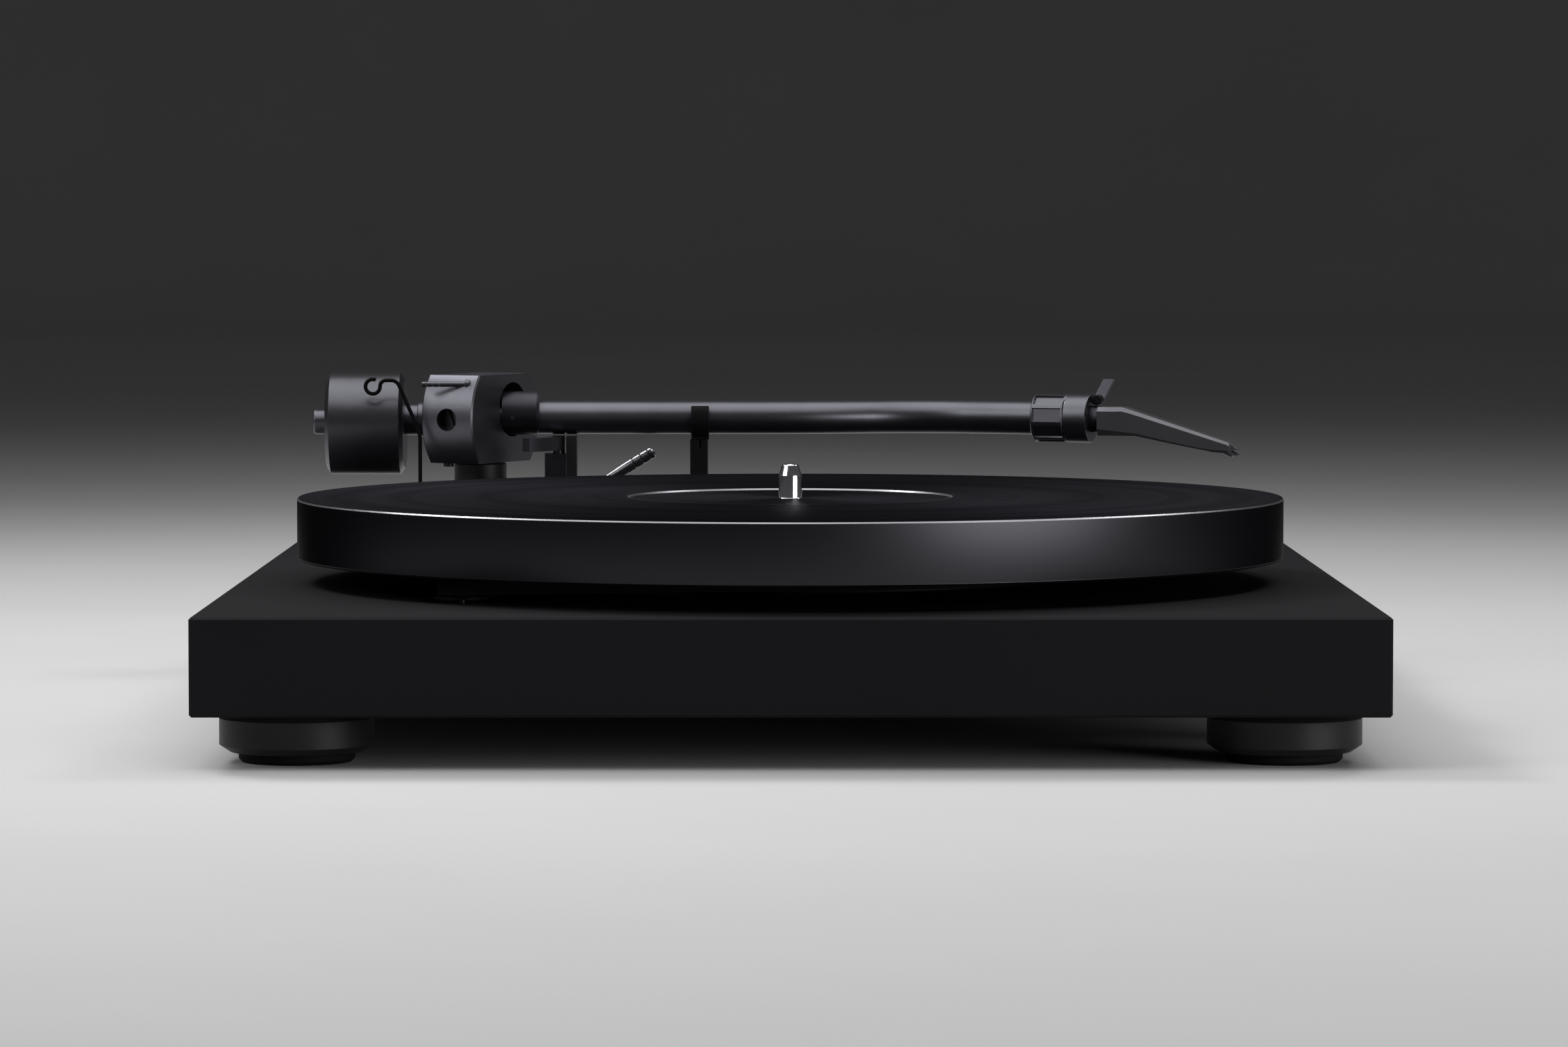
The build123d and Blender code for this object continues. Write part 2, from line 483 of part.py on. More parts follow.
def make_locking_ring():
    """A nut with eight wide flutes between narrow raised ribs."""
    bore = TUBE_RADIUS + 0.05
    radius, length, edge = KNURL_RADIUS, KNURL_LENGTH, 0.4
    profile = [(bore, 0), (radius - edge, 0), (radius, edge), (radius, length - edge)]
    profile += [(radius - edge, length), (bore, length)]
    ring = lathe(profile, HEAD_START, HEAD_AXIS)
    flutes, flute_width, flute_depth, lip = 8, 4.6, 0.6, 0.6
    plane = Plane(origin=HEAD_START, z_dir=HEAD_AXIS)
    cutter = Pos(radius, 0, length / 2) * Box(2 * flute_depth, flute_width, length - 2 * lip)
    turns = [360 / flutes * (number + 0.5) + 13.5 for number in range(flutes)]
    parts["locking_ring"] = ring - [plane * Rot(0, 0, turn) * cutter for turn in turns]


def make_socket():
    inner, edge = SOCKET_START + 1.7, 0.2
    profile = [(0, inner), (TUBE_RADIUS, inner), (TUBE_RADIUS, SOCKET_START)]
    profile += [(SOCKET_RADIUS - edge, SOCKET_START), (SOCKET_RADIUS, SOCKET_START + edge)]
    profile += [(SOCKET_RADIUS, SOCKET_END - edge), (SOCKET_RADIUS - edge, SOCKET_END), (0, SOCKET_END)]
    parts["head_socket"] = lathe(profile, HEAD_START, HEAD_AXIS)


def side_solid(points, half_width, along=SOCKET_END):
    """Extrude an outline of (distance forwards, height above the plinth) points sideways."""
    origin = HEAD_START + HEAD_AXIS * along
    plane = Plane(origin=(origin.X, origin.Y, DECK), x_dir=HEAD_AXIS, z_dir=HEAD_SIDE)
    flip = 1 if plane.y_dir.Z > 0 else -1
    outline = make_face(plane * Polyline(*[(s, flip * z) for s, z in points], close=True))
    return extrude(outline, half_width, both=True)


def plan_solid(points):
    """Extrude a symmetric plan outline of (distance forwards, half width) points upwards."""
    origin = HEAD_START + HEAD_AXIS * SOCKET_END
    plane = Plane(origin=(origin.X, origin.Y, DECK), x_dir=HEAD_AXIS, z_dir=UP)
    outline = [(s, w) for s, w in points] + [(s, -w) for s, w in reversed(points)]
    return extrude(make_face(plane * Polyline(*outline, close=True)), 70)


def make_cartridge():
    """A beak-shaped shell: level at the back, sloping to a fork at the tip."""
    side = [(3.1, 45.9), (11.6, 45.9), (48.1, 34.5), (49.3, 33.7), (51.8, 31.9), (51.5, 31.5)]
    side += [(49.8, 32.3), (48.9, 31.2), (42.7, 31.4), (37.1, 32.2), (26.4, 34.2), (16.2, 36.2), (3.1, 36.2)]
    shell = side_solid(side, 12)
    shell &= plan_solid([(3.1, 4.8), (7, 5.0), (12, 4.3), (18, 3.7), (32, 3.2), (44, 2.8), (51, 2.4)])
    neck = rod(4.5, 3.4, HEAD_START + HEAD_AXIS * SOCKET_END, HEAD_AXIS)
    carrier = [(30, 35.0), (48.6, 32.2), (49.6, 31.2), (50.9, 30.5), (50.7, 30.0), (48.8, 30.7)]
    carrier += [(43.0, 31.1), (37.4, 32.2), (30, 33.8)]
    carrier = side_solid(carrier, 1.9)
    parts["cartridge_body"] = shell + neck - carrier
    tip = HEAD_START + HEAD_AXIS * (SOCKET_END + 45.5)
    start = Vector(tip.X, tip.Y, DECK + 31.4)
    dip = radians(24)
    lean = HEAD_AXIS * cos(dip) + Vector(0, 0, -sin(dip))
    reach = 4.2
    end = start + lean * reach
    stylus = rod(0.3, reach, start, lean)
    parts["stylus_carrier"] = carrier - stylus
    parts["stylus"] = stylus + lathe([(0, 0), (0.25, 0), (0.1, 0.6), (0, 0.7)], end - lean * 0.3, DOWN)


def make_finger_lift():
    """A flat strip that rises from a small round boss on the back of the shell."""
    root = HEAD_START + HEAD_AXIS * (SOCKET_END + 1.9)
    boss_radius = 1.75
    boss_at = Vector(root.X, root.Y, DECK + 48.1) - HEAD_SIDE * 1.5
    boss = rod(boss_radius, 5.0, boss_at, HEAD_SIDE)
    start = boss_at + HEAD_SIDE * 4.0
    rise = (HEAD_AXIS * 0.27 + HEAD_SIDE * 0.5 + Vector(0, 0, 0.82)).normalized()
    plane = Plane(origin=start, x_dir=HEAD_AXIS - rise * HEAD_AXIS.dot(rise), z_dir=rise)
    strip = plane * Box(3.9, 1.0, 8.2, align=BOTTOM)
    parts["finger_lift"] = boss + strip - parts["cartridge_body"]


def build():
    """Every sub-part, from the feet to the cartridge."""
    make_plinth()
    make_feet()
    make_bearing()
    make_platter()
    make_spindle()
    make_motor()
    make_pulley()
    make_belt()
    make_electronics()
    make_connectors()
    make_switch()
    make_arm_base()
    make_pillar()
    make_lift()
    make_lever()
    make_arm_rest()
    make_antiskate_wire()
    make_ring()
    make_pitch_bearings()
    make_hub()
    make_collar()
    make_tube()
    make_weight()
    make_locking_ring()
    make_socket()
    make_cartridge()
    make_finger_lift()


build()
os.makedirs("parts", exist_ok=True)
for node, shape in parts.items():
    export_step(shape, f"parts/{node}.step")
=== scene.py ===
import json
from math import cos, pi, radians, sin

import bmesh
import bpy
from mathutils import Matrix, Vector


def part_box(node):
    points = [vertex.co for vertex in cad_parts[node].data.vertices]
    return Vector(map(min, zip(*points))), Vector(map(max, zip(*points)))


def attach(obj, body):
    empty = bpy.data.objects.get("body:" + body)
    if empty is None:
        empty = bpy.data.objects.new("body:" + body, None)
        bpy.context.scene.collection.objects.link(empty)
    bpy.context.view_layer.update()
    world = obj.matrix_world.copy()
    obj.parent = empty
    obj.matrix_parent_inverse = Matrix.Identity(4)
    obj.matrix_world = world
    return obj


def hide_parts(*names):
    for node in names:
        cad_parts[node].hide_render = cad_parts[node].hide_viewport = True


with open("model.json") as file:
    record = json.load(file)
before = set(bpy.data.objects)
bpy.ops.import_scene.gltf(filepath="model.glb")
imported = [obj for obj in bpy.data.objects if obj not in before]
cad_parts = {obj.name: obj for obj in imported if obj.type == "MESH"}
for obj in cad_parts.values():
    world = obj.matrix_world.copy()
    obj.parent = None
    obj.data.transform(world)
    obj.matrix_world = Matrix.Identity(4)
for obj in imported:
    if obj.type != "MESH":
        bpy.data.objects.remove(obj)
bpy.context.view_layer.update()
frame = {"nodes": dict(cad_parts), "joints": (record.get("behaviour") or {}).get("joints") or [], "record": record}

MM = 0.001
UP = Vector((0, 0, 1))
NODES = frame["nodes"]
BEHAVIOUR = frame["record"]["behaviour"]
JOINTS = {joint["name"]: joint for joint in frame["joints"]}
BODY_OF = {node: body for body, nodes in BEHAVIOUR["bodies"].items() for node in nodes}
SLOT_OF = {entry["node"]: entry["material_slot"] for entry in frame["record"]["subparts"]}

# ---------------------------------------------------------------- places, from the frame
SPINDLE = Vector(JOINTS["platter_spin"]["pos_m"])
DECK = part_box("plinth")[1].z
PIVOT = Vector(JOINTS["arm_swing"]["pos_m"])
HEAD_START = Vector(JOINTS["locking_ring_twist"]["pos_m"])
HEAD_AXIS = Vector(JOINTS["locking_ring_twist"]["axis"]).normalized()
HEAD_SIDE = UP.cross(HEAD_AXIS)


# ---------------------------------------------------------------- node helpers
class Shader:
    """A node material under construction, with short calls for the nodes that it uses."""

    def __init__(self, name, **settings):
        self.material = bpy.data.materials.new(name)
        self.material.use_nodes = True
        self.tree = self.material.node_tree
        self.surface = self.tree.nodes["Principled BSDF"]
        self.position = self.tree.nodes.new("ShaderNodeTexCoord").outputs["Object"]
        for socket, value in settings.items():
            self.surface.inputs[socket.replace("_", " ")].default_value = value

    def node(self, kind, inputs=(), **options):
        """A node with its options set and its inputs linked or given values."""
        made = self.tree.nodes.new(kind)
        for option, value in options.items():
            setattr(made, option, value)
        for socket, value in dict(inputs).items():
            if isinstance(value, bpy.types.NodeSocket):
                self.tree.links.new(value, made.inputs[socket])
            else:
                made.inputs[socket].default_value = value
        return made

    def noise(self, scale, detail=4.0):
        """Noise in metres of the object's own space, from 0 to 1."""
        inputs = {"Vector": self.position, "Scale": scale, "Detail": detail, "Roughness": 0.55}
        return self.node("ShaderNodeTexNoise", inputs).outputs["Fac"]

    def ramp(self, value, low, high):
        """Maps noise, which stays near its middle, to a range from low to high."""
        inputs = {"Value": value, "From Min": 0.3, "From Max": 0.7, "To Min": low, "To Max": high}
        return self.node("ShaderNodeMapRange", inputs).outputs["Result"]

    def tint(self, value, low, high):
        """A colour between two colours."""
        inputs = {"Factor": self.ramp(value, 0.0, 1.0), 6: (*low, 1), 7: (*high, 1)}
        return self.node("ShaderNodeMix", inputs, data_type="RGBA").outputs[2]

    def bump(self, height, strength, distance):
        """The normal of a surface with a fine relief."""
        inputs = {"Height": height, "Strength": strength, "Distance": distance}
        return self.node("ShaderNodeBump", inputs).outputs["Normal"]

    def link(self, socket, value):
        """Feeds a socket of the surface."""
        self.tree.links.new(value, self.surface.inputs[socket])

    def around(self, centre, scale):
        """Noise that only changes with the distance from an axis, as turning marks do."""
        offset = self.node("ShaderNodeVectorMath", {0: self.position, 1: centre}, operation="SUBTRACT")
        flat = self.node("ShaderNodeVectorMath", {0: offset.outputs[0], 1: (1, 1, 0)}, operation="MULTIPLY")
        radius = self.node("ShaderNodeVectorMath", {0: flat.outputs[0]}, operation="LENGTH")
        made = self.node("ShaderNodeTexNoise", {"W": radius.outputs["Value"], "Scale": scale, "Detail": 3.0},
                         noise_dimensions="1D")
        return made.outputs["Fac"]


def metal(name, dark, light, roughness, grain=2600.0, depth=0.03 * MM):
    """Blasted metal: a fine grain in gloss and relief, and a slow change of tone."""
    shader = Shader(name, Metallic=1.0)
    fine = shader.noise(grain, 5.0)
    broad = shader.noise(35.0, 3.0)
    shader.link("Base Color", shader.tint(broad, dark, light))
    shader.link("Roughness", shader.ramp(fine, roughness - 0.05, roughness + 0.06))
    shader.link("Normal", shader.bump(fine, 0.35, depth))
    return shader.material


def paint(name, dark, light, roughness, grain=1500.0, depth=0.02 * MM, specular=0.4):
    """Lacquer, plastic or rubber: a faint orange peel and a slow change of tone."""
    shader = Shader(name, Specular_IOR_Level=specular)
    peel = shader.noise(grain, 4.0)
    broad = shader.noise(9.0, 4.0)
    shader.link("Base Color", shader.tint(broad, dark, light))
    shader.link("Roughness", shader.ramp(broad, roughness - 0.03, roughness + 0.04))
    shader.link("Normal", shader.bump(peel, 0.25, depth))
    return shader.material


def turned_black(name, low, high, roughness, glancing):
    """Black anodised metal: fine turning marks round the spindle stretch its highlights into wedges."""
    shader = Shader(name, Anisotropic=0.6, Metallic=1.0, Specular_Tint=(glancing, glancing, glancing, 1))
    marks = shader.around(SPINDLE, 2200.0)
    broad = shader.around(SPINDLE, 60.0)
    shader.link("Base Color", shader.tint(broad, low, high))
    shader.link("Roughness", shader.ramp(marks, roughness - 0.05, roughness + 0.07))
    tangent = shader.node("ShaderNodeTangent", direction_type="RADIAL", axis="Z")
    shader.link("Tangent", tangent.outputs["Tangent"])
    shader.link("Normal", shader.bump(marks, 0.12, 0.02 * MM))
    return shader.material


FINISHES = {
    "satin_black_wood": paint("satin_black_wood", (0.0055, 0.0052, 0.0064), (0.0068, 0.0065, 0.0078), 0.6,
                              specular=0.09),
    "satin_black_metal": paint("satin_black_metal", (0.010, 0.010, 0.011), (0.014, 0.014, 0.016), 0.45, 2600,
                               specular=0.25),
    "dark_aluminium": metal("dark_aluminium", (0.10, 0.10, 0.115), (0.125, 0.125, 0.142), 0.36),
    "dark_weight": metal("dark_weight", (0.085, 0.085, 0.095), (0.11, 0.11, 0.125), 0.34),
    "polished_steel": metal("polished_steel", (0.72, 0.73, 0.75), (0.8, 0.8, 0.82), 0.12, 900, 0.004 * MM),
    "plated_steel": metal("plated_steel", (0.3, 0.3, 0.32), (0.42, 0.42, 0.45), 0.28, 1800, 0.01 * MM),
    "gold_plate": metal("gold_plate", (0.75, 0.52, 0.2), (0.85, 0.62, 0.28), 0.2, 1500, 0.01 * MM),
    "brass": metal("brass", (0.6, 0.43, 0.18), (0.7, 0.52, 0.25), 0.3, 1500, 0.015 * MM),
    "black_plastic": paint("black_plastic", (0.004, 0.004, 0.005), (0.006, 0.006, 0.007), 0.5, 3000,
                           0.03 * MM, 0.1),
    "gloss_black_plastic": paint("gloss_black_plastic", (0.034, 0.034, 0.039), (0.041, 0.041, 0.047), 0.38,
                                 2500),
    "black_wire": paint("black_wire", (0.002, 0.002, 0.0022), (0.003, 0.003, 0.0033), 0.5, 2500,
                        specular=0.06),
    "rubber": paint("rubber", (0.005, 0.005, 0.005), (0.008, 0.008, 0.008), 0.75, 1800, 0.05 * MM, 0.12),
    "circuit_board": paint("circuit_board", (0.01, 0.07, 0.03), (0.02, 0.11, 0.05), 0.35, 900),
    "platter_side": turned_black("platter_side", (0.030, 0.030, 0.034), (0.038, 0.038, 0.043), 0.3, 0.15),
    "platter_top": turned_black("platter_top", (0.022, 0.022, 0.025), (0.03, 0.03, 0.034), 0.5, 0.15),
    "satin_steel": metal("satin_steel", (0.15, 0.15, 0.165), (0.2, 0.2, 0.215), 0.3, 1800, 0.01 * MM),
    "collar_metal": metal("collar_metal", (0.040, 0.040, 0.047), (0.05, 0.05, 0.058), 0.44),
    "label_edge": metal("label_edge", (0.25, 0.25, 0.26), (0.32, 0.32, 0.33), 0.35, 1800, 0.008 * MM),
    # painted highlight: a lighter metal for the upward faces of the cartridge shell and its fork, standing in for
    # light on the top bevels
    "painted_highlight_bevel": metal("painted_highlight_bevel", (0.10, 0.10, 0.11), (0.125, 0.125, 0.137), 0.42, 2500, 0.01 * MM),
    "dim_metal": metal("dim_metal", (0.05, 0.05, 0.058), (0.062, 0.062, 0.072), 0.4),
    "bare_edge": metal("bare_edge", (0.2, 0.2, 0.215), (0.25, 0.25, 0.265), 0.3, 1800, 0.008 * MM),
    "dull_edge": metal("dull_edge", (0.05, 0.05, 0.055), (0.07, 0.07, 0.075), 0.4, 1800, 0.008 * MM),
    "white_insulator": paint("white_insulator", (0.6, 0.6, 0.58), (0.66, 0.66, 0.64), 0.45, 2500),
    "red_insulator": paint("red_insulator", (0.4, 0.02, 0.02), (0.46, 0.03, 0.03), 0.45, 2500),
}


# ---------------------------------------------------------------- mesh helpers
def place(name, mesh, body, finish, stands_for=(), smooth=35):
    """Puts a mesh in the scene on its body, with its finish, in place of the nodes that it stands for."""
    piece = bpy.data.objects.new(name, mesh)
    bpy.context.scene.collection.objects.link(piece)
    mesh.shade_smooth()
    mesh.set_sharp_from_angle(angle=radians(smooth))
    mesh.materials.clear()
    mesh.materials.append(FINISHES[finish])
    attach(piece, body)
    if stands_for:
        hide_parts(*stands_for)
    return piece


def mesh_from(work, name):
    """Turns a bmesh into a mesh with outward faces."""
    bmesh.ops.recalc_face_normals(work, faces=work.faces)
    mesh = bpy.data.meshes.new(name)
    work.to_mesh(mesh)
    work.free()
    return mesh


def soften(piece, width, segments=3, angle=30):
    """Rounds the sharp edges of a piece."""
    bevel = piece.modifiers.new("edges", "BEVEL")
    bevel.width = width
    bevel.segments = segments
    bevel.limit_method = "ANGLE"
    bevel.angle_limit = radians(angle)
    bevel.harden_normals = True


def rounded(points, radius, steps=4):
    """A 2-D chain of points with its inner corners rounded."""
    points = [Vector(point) for point in points]
    out = [points[0]]
    for before, corner, after in zip(points, points[1:], points[2:]):
        back, ahead = before - corner, after - corner
        cut = min(radius, 0.45 * back.length, 0.45 * ahead.length)
        start, end = corner + back.normalized() * cut, corner + ahead.normalized() * cut
        for step in range(steps + 1):
            share = step / steps
            out.append(start.lerp(corner, share).lerp(corner.lerp(end, share), share))
    return out + [points[-1]]


def axes_of(axis):
    """Two directions across an axis."""
    across = axis.orthogonal().normalized() if abs(axis.z) > 0.9 else UP.cross(axis).normalized()
    return across, axis.cross(across).normalized()


def turned(name, profile, origin, axis, segments, ripple=None):
    """A mesh turned from (radius, distance) points; ripple(turn, radius, distance) may change a radius."""
    across, over = axes_of(axis)
    work = bmesh.new()
    rings = []
    for radius, distance in profile:
        centre = origin + axis * distance
        if radius < 1e-7:
            rings.append([work.verts.new(centre)])
            continue
        ring = []
        for step in range(segments):
            turn = 2 * pi * step / segments
            reach = ripple(turn, radius, distance) if ripple else radius
            ring.append(work.verts.new(centre + across * (reach * cos(turn)) + over * (reach * sin(turn))))
        rings.append(ring)
    for low, high in zip(rings, rings[1:]):
        for step in range(segments):
            following = (step + 1) % segments
            corners = [low[step % len(low)], low[following % len(low)],
                       high[following % len(high)], high[step % len(high)]]
            distinct = list(dict.fromkeys(corners))
            if len(distinct) > 2:
                work.faces.new(distinct)
    return mesh_from(work, name)


def lofted(name, sections):
    """A closed mesh through sections that have the same number of points."""
    work = bmesh.new()
    rings = [[work.verts.new(point) for point in section] for section in sections]
    for low, high in zip(rings, rings[1:]):
        for step in range(len(low)):
            following = (step + 1) % len(low)
            work.faces.new([low[step], low[following], high[following], high[step]])
    work.faces.new(rings[0])
    work.faces.new(rings[-1])
    return mesh_from(work, name)


def refined(node, width, segments=3, finish=None):
    """A copy of a CAD node with merged flat faces and rounded edges, which stands for the node."""
    work = bmesh.new()
    work.from_mesh(NODES[node].data)
    for layer in list(work.loops.layers.float_vector.values()):
        work.loops.layers.float_vector.remove(layer)
    bmesh.ops.remove_doubles(work, verts=work.verts, dist=1e-6)
    bmesh.ops.dissolve_limit(work, angle_limit=radians(0.5), verts=work.verts, edges=work.edges)
    mesh = mesh_from(work, node + "_fine")
    for name in ("custom_normal", "sharp_edge", "sharp_face"):
        if name in mesh.attributes:
            mesh.attributes.remove(mesh.attributes[name])
    piece = place(node + "_fine", mesh, BODY_OF[node], finish or SLOT_OF[node], [node])
    soften(piece, width, segments)


# ---------------------------------------------------------------- plinth, platter and spindle
def make_platter():
    """The platter's body, and its bare machined edges as two thin bands."""
    low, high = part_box("platter")
    rim, top, base = (high.x - low.x) / 2, high.z - DECK, low.z - DECK
    hole, label, dip = 4.05 * MM, 49 * MM, 0.5 * MM
    foot, edge = 0.6 * MM, 0.35 * MM
    profile = [(hole, base), (rim - foot, base), (rim, base + foot), (rim, top - edge), (rim - edge, top),
               (label + 0.4 * MM, top), (label, top - dip), (hole, top - dip), (hole, base)]
    mesh = turned("platter_fine", rounded(profile, 0.1 * MM), SPINDLE, UP, 720)
    place("platter_fine", mesh, "platter", "platter_side", ["platter"], 60)
    mesh.materials.append(FINISHES["platter_top"])
    for face in mesh.polygons:
        face.material_index = 1 if face.normal.z > 0.5 else 0
    skin = 0.02 * MM
    bands = {"platter_rim": ("bare_edge", [(rim + skin, top - edge - 0.1 * MM), (rim + skin, top - edge),
                                           (rim - edge, top + skin)]),
             "platter_foot": ("dull_edge", [(rim - foot, base - skin), (rim + skin, base + foot),
                                            (rim + skin, base + foot + 0.1 * MM)]),
             "label_edge": ("label_edge", [(label + 0.6 * MM, top + skin), (label + 0.35 * MM, top + skin),
                                           (label - skin, top - dip)])}
    for name, (finish, outline) in bands.items():
        place(name, turned(name, outline, SPINDLE, UP, 720), "platter", finish)


def make_plinth():
    """The slab with softly rounded edges."""
    refined("plinth", 0.5 * MM, 4)


def make_spindle():
    """The turned pin through the platter, with a flange below it and a cone on top."""
    low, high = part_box("spindle")
    seat_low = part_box("platter")[0].z - DECK
    seat_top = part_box("platter")[1].z - DECK - 0.5 * MM
    foot, top = low.z - DECK, high.z - DECK
    flange, shank, pin, cone, tip = 5 * MM, 4 * MM, 3.55 * MM, 2.6 * MM, 1.8 * MM
    profile = [(0, foot), (shank, foot), (flange, foot + MM), (flange, seat_low), (shank, seat_low),
               (shank, seat_top), (pin, seat_top), (pin, top - 3.6 * MM), (cone, top - 0.4 * MM),
               (tip, top), (0, top)]
    mesh = turned("spindle_fine", rounded(profile, 0.12 * MM), SPINDLE, UP, 128)
    place("spindle_fine", mesh, "platter", "polished_steel", ["spindle"], 60)


# ---------------------------------------------------------------- cartridge end
SHELL_START = 19.6 * MM  # front face of the smooth socket ring, from the locking ring's back face


def shell_point(forward, side, height):
    """A point in mm: forward of the socket ring, across away from the platter, and above the plinth."""
    flat = HEAD_START + HEAD_AXIS * (SHELL_START + forward * MM) + HEAD_SIDE * (side * MM)
    return Vector((flat.x, flat.y, DECK + height * MM))


def between(stations, along):
    """Straight-line interpolation in a list of (distance, value) pairs."""
    for (start, first), (end, second) in zip(stations, stations[1:]):
        if along <= end:
            return first + (second - first) * (along - start) / (end - start)
    return stations[-1][1]


def shell_section(along, high, low, wide, upper, lower):
    """An eight-sided section of the shell with its upper and lower corners cut."""
    ridge, keel = wide - 0.8 * upper, wide - 0.7 * lower
    outline = [(-wide, low + lower), (-wide, high - upper), (-ridge, high), (ridge, high),
               (wide, high - upper), (wide, low + lower), (keel, low), (-keel, low)]
    return [shell_point(along, side, height) for side, height in outline]


def paint_highlight_on_upward_faces(piece, finish):
    """Gives the faces that look upwards a lighter finish of their own, a painted highlight on the top bevels."""
    rise = 0.3
    piece.data.materials.append(FINISHES[finish])
    for face in piece.data.polygons:
        face.material_index = 1 if face.normal.z > rise else 0


def make_cartridge():
    """A beak-shaped shell with bevelled sides, a round neck and a fork at the tip.

    Each list holds (distance forward, value) pairs in mm: heights of the top and the base, half the
    width, and the size of the upper and the lower bevel.
    """
    top = [(3.1, 45.9), (11.6, 45.9), (48.1, 34.5), (49.3, 33.7)]
    base = [(3.1, 36.2), (16.2, 36.2), (26.4, 34.2), (37.1, 32.2), (42.7, 31.4), (49.3, 31.2)]
    half = [(3.1, 4.8), (5, 5.0), (8, 5.0), (12, 4.3), (18, 3.7), (32, 3.2), (44, 2.8), (52, 2.4)]
    upper = [(3.1, 1.5), (11, 1.5), (14, 1.25), (52, 0.9)]
    lower = [(3.1, 2.1), (5, 2.1), (16.2, 0.9), (30, 0.6), (52, 0.4)]
    stations = (3.1, 5, 8, 10, 11.6, 12.5, 14, 16.2, 18, 21, 26.4, 32, 37.1, 42.7, 48.1, 49.3)
    outlines = (top, base, half, upper, lower)
    sections = [shell_section(at, *(between(values, at) for values in outlines)) for at in stations]
    shell = place("cartridge_shell", lofted("cartridge_shell", sections), "tonearm", "gloss_black_plastic",
                  ["cartridge_body"])
    # the shell's upward faces get a painted highlight
    paint_highlight_on_upward_faces(shell, "painted_highlight_bevel")
    soften(shell, 0.12 * MM, 3, 12)
    neck = [(0, 0), (4.5 * MM, 0), (4.5 * MM, 3.4 * MM), (0, 3.4 * MM)]
    mesh = turned("cartridge_neck", rounded(neck, 0.2 * MM), shell_point(0, 0, 41.6), HEAD_AXIS, 96)
    place("cartridge_neck", mesh, "tonearm", "collar_metal", [], 50)
    prongs = {"fork_upper": [(48.9, 33.4, 0.75), (50.4, 32.7, 0.4), (51.8, 31.9, 0.2)],
              "fork_lower": [(48.0, 31.5, 0.5), (49.6, 30.9, 0.35), (51.2, 30.1, 0.25)]}
    for name, route in prongs.items():
        sections = []
        for along, height, thick in route:
            wide = between(half, along) - 0.1
            outline = [(-wide, height - thick), (wide, height - thick),
                       (wide, height + thick), (-wide, height + thick)]
            sections.append([shell_point(along, side, z) for side, z in outline])
        prong = place(name, lofted(name, sections), "tonearm", "gloss_black_plastic")
        # each prong's upward faces get a painted highlight
        paint_highlight_on_upward_faces(prong, "painted_highlight_bevel")
        soften(prong, 0.12 * MM, 3, 20)


def make_finger_lift():
    """A flat strip, bent near its foot, that rises from a small dark boss on the shell."""
    route = [(1.75, 1.2, 47.4), (2.05, 2.0, 48.4), (2.45, 2.7, 49.5), (3.3, 4.1, 51.9), (4.4, 5.8, 54.9)]
    width, thick = 3.9 * MM, 0.9 * MM
    points = [shell_point(*place_on_head) for place_on_head in route]
    sections = []
    for index, point in enumerate(points):
        ahead = points[min(index + 1, len(points) - 1)] - points[max(index - 1, 0)]
        face = ahead.cross(HEAD_AXIS).normalized() * (thick / 2)
        wide = HEAD_AXIS * (width / 2)
        sections.append([point - wide - face, point + wide - face, point + wide + face, point - wide + face])
    strip = place("finger_lift_strip", lofted("finger_lift_strip", sections), "tonearm", "dim_metal",
                  ["finger_lift"])
    soften(strip, 0.2 * MM, 3, 40)
    radius, length = 1.75 * MM, 4.4 * MM
    profile = [(0, 0), (radius, 0), (radius, length), (0, length)]
    at = shell_point(2.0, -1.6, 48.1)
    boss = turned("finger_lift_boss", rounded(profile, 0.3 * MM), at, HEAD_SIDE, 64)
    place("finger_lift_boss", boss, "tonearm", "black_plastic", [], 50)


def make_locking_ring():
    """Eight wide flats between narrow raised ribs, with a plain lip at each end."""
    length, radius, bore = 11.4 * MM, 8.1 * MM, 5.7 * MM
    flats, flat_reach, edge, lip = 8, 7.15 * MM, 0.3 * MM, 0.6 * MM
    first_rib = radians(13.5)

    def ripple(turn, reach, distance):
        from_rib = (turn - first_rib) % (2 * pi / flats)
        to_middle = abs(from_rib - pi / flats)
        inside = lip < distance < length - lip and to_middle < radians(17.0)
        if reach < 7.0 * MM or not inside:
            return reach
        return flat_reach / cos(to_middle)

    profile = [(bore, 0), (radius - edge, 0), (radius, edge), (radius, lip), (radius, lip + 0.25 * MM),
               (radius, length / 2), (radius, length - lip - 0.25 * MM), (radius, length - lip),
               (radius, length - edge), (radius - edge, length), (bore, length), (bore, 0)]
    mesh = turned("locking_ring_fluted", profile, HEAD_START, HEAD_AXIS, 720, ripple)
    place("locking_ring_fluted", mesh, "locking_ring", "dark_aluminium",
          ["locking_ring"], 25)


# ---------------------------------------------------------------- small fixings
def socket_screw(name, at, axis, radius, height, finish):
    """A cap screw's head with a hexagon socket, fixed to the base."""
    across_flats = 0.55 * radius

    def ripple(turn, reach, distance):
        if reach > across_flats * 1.01:
            return reach
        return reach / cos((turn + pi / 6) % (pi / 3) - pi / 6)

    profile = [(0, height * 0.35), (across_flats, height * 0.35), (across_flats, height - 0.1 * MM),
               (across_flats + 0.12 * MM, height), (radius - 0.2 * MM, height), (radius, height - 0.2 * MM),
               (radius, 0), (0, 0)]
    place(name, turned(name, profile, at, axis, 48, ripple), "base", finish, [], 30)


